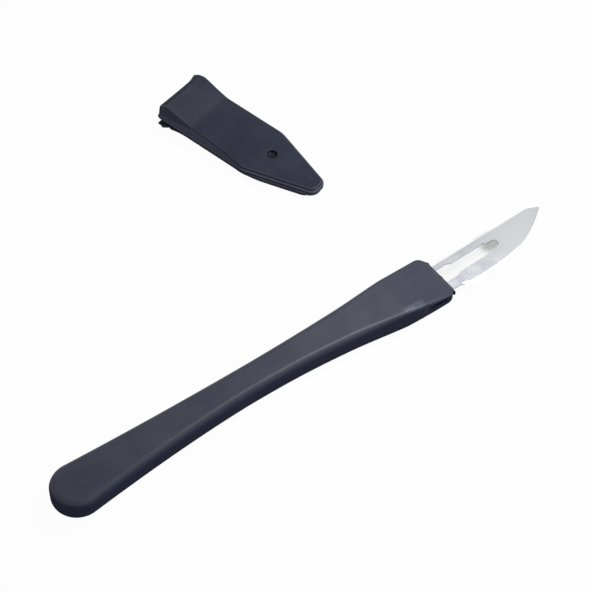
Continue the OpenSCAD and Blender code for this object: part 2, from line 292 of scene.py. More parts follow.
@dataclass(frozen=True)
class SatinSteel:
    """Pale satin blade steel, lilac to the rear and brighter where it is ground to the edge.

    The bevel lies outside a circle of bevel_r millimetres about centre, which grows by bevel_loss
    along narrows. It starts at heel, measured along the part.
    """

    name: str
    flat: Colour
    lilac: Colour
    ground: Colour
    centre: Point
    bevel_r: float
    bevel_loss: float
    narrows: Point
    heel: float
    smooth: float = 0.14
    bevel_haze: float = 0.22
    speck_h: float = 0.006
    scratch_h: float = 0.004

    def make(self) -> bpy.types.Material:
        """Builds the material.

        Returns:
            The material.
        """
        material = bpy.data.materials.new(self.name)
        graph = Graph(material)
        even = graph.place()
        speck = graph.noise(even, 3.2, 6.0, 0.75)
        cloud = graph.noise(even, 0.2, 2.0, 0.5)
        scratch = graph.noise(graph.place((0.35, 5.0, 5.0), 0.5), 1.4, 3.0, 0.6)
        along = graph.axis(0)
        grind = self._grind(graph, along)
        highlight_and_wear_tone = tuple(0.9 * c for c in self.flat[:3]) + (1.0,)
        tinted = graph.mix(graph.band(along, 60.0, 76.0), self.lilac, self.flat)
        flat = graph.mix(graph.band(speck * 0.5 + cloud * 0.5, 0.38, 0.62), tinted, highlight_and_wear_tone)
        roughness = self.smooth + (cloud - 0.5) * 0.08 + (speck - 0.5) * 0.06 + grind * self.bevel_haze
        shader = graph.node("ShaderNodeBsdfPrincipled", {}, {
            "Base Color": graph.mix(grind, flat, self.ground),
            "Metallic": 1.0,
            "Roughness": roughness.clip(),
            "Normal": graph.node("ShaderNodeBump", {}, {
                "Strength": 0.3, "Distance": MM,
                "Height": speck * self.speck_h + scratch * self.scratch_h}),
        })
        graph.finish("ShaderNodeOutputMaterial", shader)
        return material

    def _grind(self, graph: Graph, along: Value) -> Value:
        """Where the bevel is, which fades before the tip.

        Args:
            graph: The graph.
            along: Place along the part, in millimetres.

        Returns:
            1 on the bevel and 0 elsewhere.
        """
        away = graph.node("ShaderNodeVectorMath", {"operation": "DISTANCE"},
                          {0: graph.place((1, 1, 0)), 1: (*self.centre, 0.0)}, "Value")
        inner = graph.band(along, *self.narrows) * self.bevel_loss + self.bevel_r
        reach = graph.window(along, (self.heel - 1.2, self.heel - 0.8),
                             (self.heel + 12.0, self.heel + 23.0))
        return graph.band(away - inner, 0.04, 0.14) * reach


# Meshes

Outline = list[Point]
Field = Callable[[Vector], float]


class Cap(Enum):
    """What a plate does at the first station of its outline."""

    POINT = "the two sides meet in one point"
    OPEN = "the end stays open, as a mouth"


class Cut(Enum):
    """How one closed form changes another."""

    TAKE = "DIFFERENCE"
    ADD = "UNION"


def grid(bm: bmesh.types.BMesh, columns: int, rows: int) -> dict[tuple[int, int], bmesh.types.BMVert]:
    """Adds a flat grid.

    Args:
        bm: The mesh that it is added to.
        columns: Vertices along X.
        rows: Vertices along Y.

    Returns:
        Each vertex by its column and row.
    """
    made = bmesh.ops.create_grid(bm, x_segments=columns - 1, y_segments=rows - 1, size=1.0)["verts"]
    return {(round((v.co.x + 1) / 2 * (columns - 1)), round((v.co.y + 1) / 2 * (rows - 1))): v
            for v in made}


def add_object(name: str, data: bpy.types.ID) -> bpy.types.Object:
    """Puts new data into the scene as an object.

    Args:
        name: The object's name.
        data: Its mesh, lamp or camera.

    Returns:
        The object.
    """
    made = bpy.data.objects.new(name, data)
    bpy.context.scene.collection.objects.link(made)
    return made


def new_mesh(bm: bmesh.types.BMesh, name: str) -> bpy.types.Mesh:
    """Turns a bmesh into a mesh and frees it.

    Args:
        bm: The bmesh.
        name: The mesh's name.

    Returns:
        The mesh.
    """
    mesh = bpy.data.meshes.new(name)
    bm.to_mesh(mesh)
    bm.free()
    return mesh


def mirror_down(bm: bmesh.types.BMesh) -> None:
    """Completes a form that is drawn above its middle plane."""
    bmesh.ops.mirror(bm, geom=bm.verts[:] + bm.edges[:] + bm.faces[:], matrix=Matrix.Identity(4),
                     merge_dist=MERGE, axis="Z")


def finish_mesh(bm: bmesh.types.BMesh, name: str, sharp: float = SHARP) -> bpy.types.Object:
    """Makes an object of a mesh that is drawn in millimetres.

    Args:
        bm: The mesh; it is freed.
        name: The object's name.
        sharp: Angle, in degrees, past which an edge stays sharp.

    Returns:
        The object.
    """
    bmesh.ops.remove_doubles(bm, verts=bm.verts, dist=MERGE)
    bmesh.ops.dissolve_degenerate(bm, edges=bm.edges, dist=MERGE)
    bmesh.ops.recalc_face_normals(bm, faces=bm.faces)
    bmesh.ops.scale(bm, vec=(MM, MM, MM), verts=bm.verts)
    for face in bm.faces:
        face.smooth = True
    mesh = new_mesh(bm, name)
    mesh.set_sharp_from_angle(angle=math.radians(sharp))
    return add_object(name, mesh)


def carve(piece: bpy.types.Object, tool: bpy.types.Object, cut: Cut, sharp: float = SHARP) -> None:
    """Takes one closed form out of another, or adds it, and removes the tool.

    Args:
        piece: What is changed.
        tool: What changes it.
        cut: Whether the tool is taken or added.
        sharp: Angle, in degrees, past which an edge stays sharp.
    """
    step = piece.modifiers.new("cut", "BOOLEAN")
    step.operation, step.solver, step.object = cut.value, "EXACT", tool
    shown = piece.evaluated_get(bpy.context.evaluated_depsgraph_get())
    mesh = bpy.data.meshes.new_from_object(shown)
    piece.modifiers.clear()
    old, piece.data = piece.data, mesh
    mesh.set_sharp_from_angle(angle=math.radians(sharp))
    bpy.data.meshes.remove(old)
    bpy.data.objects.remove(tool)


def slide(value: float, low: float, high: float) -> float:
    """A smooth step from 0 at low to 1 at high."""
    t = min(1.0, max(0.0, (value - low) / (high - low)))
    return t * t * (3 - 2 * t)


def swell(value: float, middle: float, width: float) -> float:
    """A smooth hill of height 1."""
    return math.exp(-((value - middle) / width) ** 2)


def lump(at: tuple[float, float, float], size: tuple[float, float, float]) -> bpy.types.Object:
    """A rounded blob.

    Args:
        at: Its middle.
        size: Its reach along each axis.

    Returns:
        The blob.
    """
    bm = bmesh.new()
    bmesh.ops.create_icosphere(bm, subdivisions=3, radius=1.0)
    bmesh.ops.scale(bm, vec=size, verts=bm.verts)
    bmesh.ops.translate(bm, vec=at, verts=bm.verts)
    return finish_mesh(bm, "lump")


def mark_sides(piece: bpy.types.Object) -> None:
    """Notes on each vertex of a piece how far its normal leans away from the vertical.

    Args:
        piece: The piece; its mesh gets the attribute side.
    """
    layer = piece.data.attributes.new("side", "FLOAT", "POINT")
    for vert in piece.data.vertices:
        layer.data[vert.index].value = 1 - abs(vert.normal.z)


class Plate:
    """A plate drawn from the two sides of its outline, with rings that run round its edge."""

    def __init__(self, left: Outline, right: Outline, rows: int, cap: Cap) -> None:
        """Draws the flat sheet.

        Args:
            left: The side with the higher Y, from the first station to the last.
            right: The other side, with as many points.
            rows: Vertices across.
            cap: What happens at the first station.
        """
        self.bm = bmesh.new()
        self.rows = rows
        self.cap = cap
        self.last = len(left) - 1
        self.foot = self.bm.verts.layers.float_vector.new("foot")
        self.out = self.bm.verts.layers.float_vector.new("out")
        self.mouth = self.bm.verts.layers.int.new("mouth")
        self.cells = grid(self.bm, len(left), rows)
        loop = [(i, rows - 1, left[i]) for i in range(self.last + 1)]
        loop += [(self.last, j, self._blend(left[-1], right[-1], j)) for j in range(rows - 2, 0, -1)]
        loop += [(i, 0, right[i]) for i in range(self.last, -1 if cap is Cap.OPEN else 0, -1)]
        count = len(loop)
        for k, (i, j, point) in enumerate(loop):
            if cap is Cap.OPEN:
                before, after = loop[max(k - 1, 0)][2], loop[min(k + 1, count - 1)][2]
            else:
                before, after = loop[k - 1][2], loop[(k + 1) % count][2]
            run = Vector((after[0] - before[0], after[1] - before[1])).normalized()
            vert = self.cells[(i, j)]
            vert[self.foot] = (point[0], point[1], 0)
            vert[self.out] = (-run.y, run.x, 0)
        for j in range(rows):
            vert = self.cells[(0, j)]
            if cap is Cap.OPEN:
                vert[self.mouth] = 1
                if j in (0, rows - 1):
                    vert[self.out] = (0, math.copysign(1, vert[self.foot][1]), 0)
            else:
                apex = self.cells[(0, rows - 1)]
                vert[self.foot] = apex[self.foot]
                vert[self.out] = apex[self.out]

    def _blend(self, high: Point, low: Point, row: int) -> Point:
        """A point between the two sides, by its row."""
        t = row / (self.rows - 1)
        return (low[0] + (high[0] - low[0]) * t, low[1] + (high[1] - low[1]) * t)

    def lay(self, inset: Field, height: Field) -> None:
        """Puts the sheet in its place.

        Args:
            inset: How far its edge lies inside the outline at a point.
            height: Its height at a point.
        """
        for j in (0, self.rows - 1):
            for i in range(self.last + 1):
                self._put(self.cells[(i, j)], inset, height)
        for j in range(1, self.rows - 1):
            self._put(self.cells[(self.last, j)], inset, height)
        for (i, j), vert in self.cells.items():
            if 0 < j < self.rows - 1 and i < self.last:
                low, high = self.cells[(i, 0)].co, self.cells[(i, self.rows - 1)].co
                vert.co = low.lerp(high, j / (self.rows - 1))
                vert.co.z = height(vert.co)
        if self.cap is Cap.POINT:
            bmesh.ops.pointmerge(self.bm, verts=[self.cells[(0, j)] for j in range(self.rows)],
                                 merge_co=self.cells[(0, 0)].co)

    def _put(self, vert: bmesh.types.BMVert, inset: Field, height: Field) -> None:
        """Places a vertex of the edge by its foot on the outline.

        Args:
            vert: The vertex.
            inset: How far it lies inside the outline.
            height: Its height.
        """
        foot, out = Vector(vert[self.foot]), Vector(vert[self.out])
        vert.co = foot - out * inset(foot)
        vert.co.z = height(foot)

    def ring(self, inset: Field, height: Field) -> None:
        """Adds one more ring round the edge, but not across an open mouth.

        Args:
            inset: How far it lies inside the outline; less than 0 is outside.
            height: Its height.
        """
        edges = [e for e in self.bm.edges
                 if e.is_boundary and not all(v[self.mouth] for v in e.verts)]
        made = bmesh.ops.extrude_edge_only(self.bm, edges=edges)["geom"]
        for vert in (g for g in made if isinstance(g, bmesh.types.BMVert)):
            self._put(vert, inset, height)

    def round_over(self, inset: Field, radius: Field, height: Field, steps: int) -> None:
        """Lays the sheet and rounds its edge down to the wall with rings.

        Args:
            inset: How far the wall lies inside the outline.
            radius: Rounding of the edge.
            height: Height of the sheet.
            steps: Rings in the rounding.
        """
        self.lay(lambda p: inset(p) + radius(p), height)
        for i in range(1, steps + 1):
            a = math.pi / 2 * i / steps
            self.ring(lambda p, a=a: inset(p) + radius(p) * (1 - math.sin(a)),
                      lambda p, a=a: height(p) - radius(p) * (1 - math.cos(a)))

    def join(self, other: "Plate") -> None:
        """Takes in another plate, whose edge lies on this one's last ring, and frees it.

        Args:
            other: That plate.
        """
        mesh = new_mesh(other.bm, "join")
        self.bm.from_mesh(mesh)
        bpy.data.meshes.remove(mesh)
        bmesh.ops.remove_doubles(self.bm, verts=self.bm.verts, dist=MERGE)


# Handle

@dataclass
class Handle:
    """The waisted handle, from its round butt to the tapered nose, in millimetres."""

    length: float = 103.4
    thickness: float = 5.5
    butt_r: float = 5.9
    butt_centre: float = 0.65
    front_w: float = 13.4
    front_centre: float = 0.15
    waist: float = 50.0
    waist_spine: float = 4.4
    waist_edge: float = 3.15
    spine_bows: Point = (2.2, 1.75)
    edge_bows: Point = (1.6, 1.3)
    edge_r: float = 1.5
    fore_edge_r: float = 0.8
    crisp_x: Point = (26.0, 41.0)
    nose_l: float = 13.0
    nose_t: float = 2.2
    nose_edge_r: float = 0.5
    corner_r: float = 2.2
    groove_l: float = 9.0
    groove_d: float = 0.8
    groove_side: float = 0.5
    land_h: float = 0.2
    land_t: float = 1.8
    land_y: tuple[float, float] = (-5.3, 3.3)

    @property
    def front(self) -> float:
        """Where the front face is."""
        return self.length - self.waist

    def side(self, centre: float, half_waist: float, half_front: float, bows: Point,
             s_curve: bool) -> Outline:
        """One side of the outline, from the butt's apex to the front face.

        Args:
            centre: Offset of the butt's centre to this side.
            half_waist: Half width at the waist.
            half_front: Half width at the front.
            bows: Exponents of the hollows behind the waist and in front of it.
            s_curve: Whether the front hollow runs out in an S.

        Returns:
            Points as (distance from the butt, distance from the axis).
        """
        r = self.butt_r
        rear_p, front_p = bows
        slope = math.atan(rear_p * (r + centre - half_waist) / (self.waist - r))
        start = r + r * math.sin(slope)
        at_start = centre + r * math.cos(slope)
        stop = self.length - self.corner_r

        def flank(s: float) -> float:
            """Gives the half width at a distance from the butt.

            Args:
                s: Distance from the butt.

            Returns:
                Half the width.
            """
            if s < self.waist:
                t = (self.waist - s) / (self.waist - start)
                return half_waist + (at_start - half_waist) * t ** rear_p
            t = ((s - self.waist) / (self.length - self.waist)) ** front_p
            return half_waist + (half_front - half_waist) * (t * t * (3 - 2 * t) if s_curve else t)

        butt_steps, flank_steps, corner_steps = 18, 120, 10
        turns = [(math.pi / 2 + slope) * i / butt_steps for i in range(butt_steps + 1)]
        points = [(r - r * math.cos(a), centre + r * math.sin(a)) for a in turns]
        for i in range(1, flank_steps + 1):
            s = start + (stop - start) * i / flank_steps
            points.append((s, flank(s)))
        for i in range(1, corner_steps + 1):
            a = math.pi / 2 * i / corner_steps
            points.append((stop + self.corner_r * math.sin(a),
                           flank(stop) - self.corner_r * (1 - math.cos(a))))
        return [(s - self.waist, y) for s, y in points]

    def share(self, point: Vector) -> float:
        """Share of the nose's taper at a point."""
        return min(1.0, max(0.0, (point.x - self.front + self.nose_l) / self.nose_l))

    def rounding(self, point: Vector) -> float:
        """Rounding of the long edges at a point."""
        crisp = (self.edge_r - self.fore_edge_r) * slide(point.x, *self.crisp_x)
        return self.edge_r - crisp - (self.fore_edge_r - self.nose_edge_r) * self.share(point)

    def half(self, point: Vector) -> float:
        """Half thickness at a point."""
        return self.thickness / 2 - self.share(point) * (self.thickness - self.nose_t) / 2

    def build(self) -> bpy.types.Object:
        """Builds the handle.

        Returns:
            The object.
        """
        spine_y = self.front_w / 2 - self.front_centre
        edge_y = self.front_w / 2 + self.front_centre
        spine = self.side(-self.butt_centre, self.waist_spine, spine_y, self.spine_bows, False)
        edge = self.side(self.butt_centre, self.waist_edge, edge_y, self.edge_bows, True)
        rows, steps = 25, 8
        plate = Plate(spine, [(x, -y) for x, y in edge], rows, Cap.POINT)
        plate.round_over(lambda p: 0.0, self.rounding, self.half, steps)
        for t in (0.5, 0.0):
            plate.ring(lambda p: 0.0, lambda p, t=t: (self.half(p) - self.rounding(p)) * t)
        bm = plate.bm
        mirror_down(bm)
        self._front_marks(bm)
        bmesh.ops.translate(bm, vec=(0, 0, self.thickness / 2), verts=bm.verts)
        made = finish_mesh(bm, "handle_moulding")
        for y, sign in ((spine_y, 1), (-edge_y, -1)):
            carve(made, self._groove(y, sign), Cut.TAKE)
        carve(made, self._land(), Cut.ADD)
        flash = (((0.1, self.land_y[0] - 0.35, -0.1), (0.3, 0.5, 0.75)),
                 ((0.05, 3.9, 0.75), (0.28, 0.6, 0.25)),
                 ((0.05, -1.1, 0.8), (0.22, 0.8, 0.2)))
        for (out, y, up), size in flash:
            carve(made, lump((self.front + out, y, self.thickness / 2 + up), size), Cut.ADD)
        return made

    def _front_marks(self, bm: bmesh.types.BMesh) -> None:
        """Makes the upper front edge slightly uneven, as the mould left it.

        Args:
            bm: The handle's mesh, with its middle plane at zero.
        """
        reach, half_span, out, up = 1.2, 5.6, 0.07, 0.035
        for vert in bm.verts:
            close = 1 - (self.front - vert.co.x) / reach
            if close > 0 and vert.co.z > 0 and abs(vert.co.y) < half_span:
                y = vert.co.y
                wave = math.sin(1.9 * y + 0.6) + 0.6 * math.sin(4.3 * y) + 0.4 * math.sin(7.1 * y + 1.0)
                vert.co.x += out * wave * close
                vert.co.z += up * wave * close * (vert.co.z / self.nose_t)

    def _groove(self, y: float, sign: int) -> bpy.types.Object:
        """The wedge that cuts the groove in one side of the nose.

        Args:
            y: Where that side is at the front.
            sign: 1 for the spine's side, -1 for the edge's.

        Returns:
            The cutter.
        """
        rear_x = self.front - self.groove_l
        at_rear = Vector((rear_x, 0, 0))
        mid = self.thickness / 2
        rear_high = mid + self.half(at_rear) - self.rounding(at_rear)
        rear_low = mid - 0.15 * self.nose_t
        fore_high = mid + self.nose_t / 2 - self.nose_edge_r
        fore_low = fore_high - 0.3 * self.nose_edge_r
        past = 0.5
        bm = bmesh.new()
        bmesh.ops.create_cube(bm, size=1.0)
        for vert in bm.verts:
            rear, high = vert.co.x < 0, vert.co.z > 0
            inner = (vert.co.y > 0) != (sign > 0)
            depth = self.groove_side if rear else self.groove_d
            vert.co.x = rear_x if rear else self.front + past
            vert.co.z = (rear_high if high else rear_low) if rear else (fore_high if high else fore_low)
            vert.co.y = y - sign * depth if inner else y + sign * past
        return finish_mesh(bm, "groove_cutter")

    def _land(self) -> bpy.types.Object:
        """The low land round the blade on the front face.

        Returns:
            The block that is added.
        """
        depth = 1.0
        width = self.land_y[1] - self.land_y[0]
        bm = bmesh.new()
        bmesh.ops.create_cube(bm, size=1.0)
        bmesh.ops.scale(bm, vec=(depth + self.land_h, width, self.land_t), verts=bm.verts)
        bmesh.ops.bevel(bm, geom=bm.edges[:], offset=0.1, segments=2, profile=0.5, affect="EDGES",
                        material=-1)
        middle = (self.front + (self.land_h - depth) / 2, sum(self.land_y) / 2, self.thickness / 2)
        bmesh.ops.translate(bm, vec=middle, verts=bm.verts)
        return finish_mesh(bm, "land")

    def dress(self, piece: bpy.types.Object) -> None:
        """Gives the handle its plastic.

        Args:
            piece: The handle's object.
        """
        # Painted light and shade: the walls' own colour, the paler rounded edges and the pale patch on the
        # nose.
        finish = CharcoalPlastic("handle plastic", dark=shade(0.027, 0.030, 0.048),
                                 light=shade(0.039, 0.042, 0.061), roughness=0.35, shine=0.15,
                                 side=shade(0.046, 0.049, 0.084), edge_highlight=0.2, marks=True)
        mark_sides(piece)
        piece.data.materials.clear()
        piece.data.materials.append(finish.make())
        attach(piece, "root")
        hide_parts("handle")


# Blade

@dataclass
class Blade:
    """The slotted blade with one curved edge, in millimetres from the handle's front face."""

    front: float = 53.4
    offset: float = 0.4
    height: float = 2.75
    turn: float = 1.8
    length: float = 32.7
    tail: float = 11.0
    tail_slant: float = 2.5
    thickness: float = 0.5
    spine_y: float = 3.4
    belly_y: float = 6.1
    tail_y: float = 4.6
    belly_x: float = 8.9
    arc_r: float = 39.0
    bevel_w: float = 0.8
    bevel_loss: float = 0.55
    narrows_x: Point = (11.0, 24.0)
    heel_x: float = 4.8
    choil_run: float = 2.0
    clip: float = 3.0
    edge_t: float = 0.06
    slot_back: float = 4.0
    slot_rear: float = 3.9
    slot_mid: float = 13.9
    slot_skew: float = 1.1
    slot_head: float = 17.7
    ramp: float = 1.1
    head_r: float = 0.5
    half_widths: tuple[float, float, float] = (2.15, 1.6, 1.05)

    @property
    def place(self) -> Matrix:
        """Where the blade lies in the part's frame, in millimetres."""
        return Matrix.Translation((self.front, -self.offset, self.height)) @ \
            Matrix.Rotation(math.radians(self.turn), 4, "Z")

    def arc(self, x: float, r: float) -> float:
        """Height of an arc about the cutting edge's centre."""
        return self.arc_r - self.belly_y - math.sqrt(r * r - (x - self.belly_x) ** 2)

    def top(self, x: float) -> float:
        """Height of the spine and of the clip.

        Args:
            x: Distance from the front face.

        Returns:
            The height.
        """
        start = self.length - self.clip
        if x <= start:
            return self.spine_y
        tip = self.arc(self.length, self.arc_r)
        return self.spine_y + (tip - self.spine_y) * (x - start) / self.clip

    def low(self, x: float) -> float:
        """Height of the tail's lower side, the choil and the cutting edge.

        Args:
            x: Distance from the front face.

        Returns:
            The height.
        """
        choil = self.heel_x - self.choil_run
        if x <= choil:
            return -self.tail_y
        if x < self.heel_x:
            return -self.tail_y + (self.arc(self.heel_x, self.arc_r) + self.tail_y) \
                * (x - choil) / self.choil_run
        return self.arc(x, self.arc_r)

    def bevel(self, x: float) -> float:
        """Width of the ground bevel, which narrows to the tip."""
        return self.bevel_w - self.bevel_loss * slide(x, *self.narrows_x)

    def slot_side(self, upper: bool) -> Outline:
        """One side of the slot, from its wide rear to its head.

        Args:
            upper: Whether it is the side next to the spine.

        Returns:
            Points as (distance from the front face, distance from the slot's centre line).
        """
        wide, middle, head = self.half_widths
        step = 0.02
        stop = self.slot_mid + self.slot_skew if upper else self.slot_mid
        run = step if upper else self.ramp / 2
        return [(self.slot_rear, wide), (self.slot_rear + self.ramp, middle), (stop, middle),
                (stop + run, head), (self.slot_head - self.head_r, head),
                (self.slot_head, head - self.head_r)]

    def slot(self, x: float, upper: bool) -> float:
        """Height of one side of the slot.

        Args:
            x: Distance from the front face.
            upper: Whether it is the side next to the spine.

        Returns:
            The height.
        """
        table = self.slot_side(upper)
        width = table[0][1] if x <= table[0][0] else table[-1][1]
        for (x0, w0), (x1, w1) in zip(table, table[1:]):
            if x0 < x <= x1:
                width = w0 + (w1 - w0) * (x - x0) / (x1 - x0)
        return width if upper else -width

    def stations(self) -> list[float]:
        """Where the columns of the sheet stand, from the tail to the tip.

        Returns:
            The distances from the front face.
        """
        clip_x = self.length - self.clip
        choil = self.heel_x - self.choil_run
        longest, mid_tail = 0.6, -9.0
        places = {self.slot_back - self.tail, -1.0, 0.0, 1.0, choil, self.heel_x}
        places |= {x for side in (True, False) for x, _ in self.slot_side(side)}
        marks = sorted(places) + [clip_x, self.length]
        fine = []
        for start, stop in zip(marks, marks[1:]):
            steps = max(1, round((stop - start) / longest))
            fine += [start + (stop - start) * i / steps for i in range(steps)]
        return [-self.tail, mid_tail] + fine + [self.length]

    def build(self) -> bpy.types.Object:
        """Builds the blade.

        Returns:
            The object.
        """
        stations = self.stations()
        rows = 9
        bm = bmesh.new()
        cells = grid(bm, len(stations), rows)
        for (i, j), vert in cells.items():
            x = stations[i]
            top, low = self.top(x), self.low(x)
            ground = self.arc(x, self.arc_r - self.bevel(x)) if x >= self.heel_x else low + self.bevel_w
            ground = min(ground, top)
            slot_low, slot_high = self.slot(x, False), self.slot(x, True)
            if x > self.slot_head:
                slot_low = max(slot_low, ground + (top - ground) / 3)
                slot_high = max(slot_high, ground + (top - ground) * 2 / 3)
            levels = [low, (low + ground) / 2, ground, (2 * ground + slot_low) / 3,
                      (ground + 2 * slot_low) / 3, slot_low, slot_high, (slot_high + top) / 2, top]
            y = min(max(levels[j], low), top)
            vert.co = Vector((x, y, self.half_at(x, y)))
            if i == 0:
                vert.co.x += self.tail_slant * (self.spine_y - y) / (self.spine_y + self.tail_y)
        gap = [f for f in bm.faces if self._in_slot(f)]
        bmesh.ops.delete(bm, geom=gap, context="FACES")
        bmesh.ops.remove_doubles(bm, verts=bm.verts, dist=MERGE)
        rim = [e for e in bm.edges if e.is_boundary]
        made = bmesh.ops.extrude_edge_only(bm, edges=rim)["geom"]
        for vert in (g for g in made if isinstance(g, bmesh.types.BMVert)):
            vert.co.z = 0.0
        mirror_down(bm)
        bmesh.ops.recalc_face_normals(bm, faces=bm.faces)
        corner, thick = math.radians(60), 0.2
        crisp = [e for e in bm.edges if e.is_manifold and e.calc_face_angle(0.0) > corner
                 and all(abs(v.co.z) > thick for v in e.verts)]
        bmesh.ops.bevel(bm, geom=crisp, offset=0.02, segments=1, profile=0.5, affect="EDGES",
                        material=-1, clamp_overlap=True)
        bmesh.ops.transform(bm, matrix=self.place, verts=bm.verts)
        facet = 8.0
        return finish_mesh(bm, "blade_steel", facet)

    def half_at(self, x: float, y: float) -> float:
        """Half thickness at a point, less where the edge is ground.

        Args:
            x: Distance from the front face.
            y: Distance from the blade's axis.

        Returns:
            Half the thickness.
        """
        if x <= self.heel_x - self.choil_run:
            return self.thickness / 2
        depth = self.arc_r - math.hypot(x - self.belly_x, y - self.arc_r + self.belly_y)
        share = min(1.0, max(0.0, depth / self.bevel(x)))
        return self.edge_t / 2 + (self.thickness - self.edge_t) / 2 * share

    def _in_slot(self, face: bmesh.types.BMFace) -> bool:
        """Whether a face lies over the slot.

        Args:
            face: A face of the sheet.

        Returns:
            Whether its middle is inside the slot.
        """
        centre = face.calc_center_median()
        return self.slot_back - self.tail < centre.x < self.slot_head and \
            self.slot(centre.x, False) < centre.y < self.slot(centre.x, True)

    def dress(self, piece: bpy.types.Object) -> None:
        """Gives the blade its steel.

        Args:
            piece: The blade's object.
        """
        centre = self.place @ Vector((self.belly_x, self.arc_r - self.belly_y, 0.0))
        finish = SatinSteel("blade steel", flat=shade(0.60, 0.612, 0.63), lilac=shade(0.45, 0.46, 0.52),
                            ground=shade(0.92, 0.92, 0.93), centre=(centre.x, centre.y),
                            bevel_r=self.arc_r - self.bevel_w, bevel_loss=self.bevel_loss,
                            narrows=tuple(self.front + x for x in self.narrows_x),
                            heel=self.front + self.heel_x)
        piece.data.materials.clear()
        piece.data.materials.append(finish.make())
        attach(piece, "root")
        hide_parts("blade")


# Guard

class Half(Enum):
    """Which of the two shells of the guard."""

    UPPER = "guard_upper_shell"
    LOWER = "guard_lower_shell"


@dataclass
class GuardShell:
    """One shell of the blade guard, drawn with its seam at zero and its mouth at x = 0.

    The collar flares to the mouth, and on the near side the wall stands back behind a shelf.
    """

    half: Half
    flare: float
    setback: float
    gape: float
    length: float = 44.5
    width: float = 14.9
    thickness: float = 2.7
    wall: float = 0.6
    panel_r: float = 0.45
    shoulder: float = 26.6
    tip_w: float = 3.9
    tip_r_far: float = 2.0
    tip_r_near: float = 1.6
    collar_l: float = 9.3
    collar_r: float = 0.5
    flare_side: float = 0.4
    flare_down: float = 2.6
    lower_setback: float = 0.7
    draft: float = 0.8
    draft_far: float = 0.1
    wall_lean: float = 0.25
    mouth_hollow: float = 0.1
    far_corner: float = 0.6
    gape_l: float = 6.0
    lip: float = 0.9
    lip_drop: float = 0.45
    bead_h: float = 0.03
    rim_out: float = 0.45
    rim_h: float = 0.6
    shelf_x: float = 10.0
    shelf: float = 1.1
    shelf_mouth: float = 0.3
    seat_x: float = 6.0
    chamber: float = 0.75
    dimple_at: Point = (29.3, 0.25)
    dimple_r: float = 1.4
    dimple_h: float = 0.85
    pip_at: Point = (41.0, 0.37)
    at: Point = (36.9, 81.4)
    turn: float = -75.1

    def outline(self, tip_r: float) -> Outline:
        """One side of the panel's outline, from the mouth round the tip's corner.

        Args:
            tip_r: Rounding of the tip's corner.

        Returns:
            Points as (distance from the mouth, distance from the axis).
        """
        end = self.length - self.rim_out
        half = self.width / 2
        near = [0.0, 0.15, 0.3, 0.5, 0.7, 0.9, 1.15, 1.4, 1.7, 2.0, 2.3, 2.6, 2.9, 3.2, 3.5, 3.7, 3.9, 4.1,
                4.3, 4.5, 4.7, 5.0, 5.4, 6.0, 6.15, 7.0, 8.0]
        stations = [x for x in near if x >= self.setback]
        if stations[0] > self.setback:
            stations.insert(0, self.setback)
        soft = 0.7
        stations += [self.collar_l + soft * k / 3 for k in range(-3, 4)]
        first, last, count = self.collar_l + 1.4, self.shoulder - 0.5, 14
        stations += [first + (last - first) * i / count for i in range(count + 1)]
        points = [(x, half + self.flare_side * max(0.0, 1 - x / self.collar_l)) for x in stations]
        corner_x = end - tip_r
        slope = math.atan2(half - self.tip_w / 2, end - self.shoulder)
        corner_y = half - math.tan(slope) * (corner_x - self.shoulder) - tip_r / math.cos(slope)
        steps = 24
        start = (self.shoulder, half)
        stop = (corner_x + tip_r * math.sin(slope), corner_y + tip_r * math.cos(slope))
        for i in range(1, steps + 1):
            t = i / steps
            points.append((start[0] + (stop[0] - start[0]) * t, start[1] + (stop[1] - start[1]) * t))
        turns = 10
        for i in range(1, turns + 1):
            a = slope + (math.pi / 2 - slope) * i / turns
            points.append((corner_x + tip_r * math.sin(a), corner_y + tip_r * math.cos(a)))
        return points

    def mouth(self, point: Vector) -> float:
        """Distance behind this shell's own mouth."""
        return point.x - self.setback

    def roof(self, point: Vector) -> float:
        """Height of the outer face at a point.

        Args:
            point: A point on the panel.

        Returns:
            The height.
        """
        soft, bead_x, bead_w = 0.15, 1.3, 0.3
        rise = self.flare * (self.collar_l - point.x) / self.collar_l
        rise = (rise + math.sqrt(rise * rise + soft * soft)) / 2
        slope = 1 - min(1.0, max(0.0, self.mouth(point) / self.lip))
        bead = self.bead_h * swell(self.mouth(point), bead_x, bead_w)
        return self.thickness / 2 + rise + bead - self.lip_drop * slope

    def lean(self, point: Vector) -> float:
        """How far the top's edge lies inside the outline, with the rounded corners of the mouth.

        Args:
            point: A point on the outline.

        Returns:
            The distance.
        """
        mouth, end = self.mouth(point), self.collar_l + 1.0
        if point.y > 0:
            reach, depth, power = 2.2, 1.4, 1.5
            collar = 1 - slide(point.x, self.collar_l - 4.0, end)
            return self.draft_far * collar + depth * max(0.0, 1 - mouth / reach) ** power
        draft = self.draft if self.half is Half.UPPER else self.draft / 2
        inset = draft * slide(mouth, 0.2, 1.3) * max(0.0, 1 - point.x / end)
        return self.foot(point) + self.wall_lean * (1 - slide(point.x, 18.0, self.shoulder)) + inset

    def foot(self, point: Vector) -> float:
        """How far the wall's foot lies inside the outline: the near side stands behind a shelf.

        Args:
            point: A point on the outline.

        Returns:
            The distance.
        """
        if point.y > 0:
            return 0.0
        if point.x < self.shelf_x:
            share = self.mouth(point) / (self.shelf_x - self.setback)
            return self.shelf_mouth + (self.shelf - self.shelf_mouth) * share
        t = min(1.0, (point.x - self.shelf_x) / (self.shoulder - self.shelf_x))
        return self.shelf * (1 - t ** 1.8)

    def inner(self, point: Vector) -> float:
        """How far the inner wall lies inside the outline."""
        return self.foot(point) + self.wall + 0.2

    def rounding(self, point: Vector) -> float:
        """Rounding of the panel's edge at a point."""
        return self.collar_r + (self.panel_r - self.collar_r) * slide(point.x, self.collar_l - 2,
                                                                     self.collar_l)

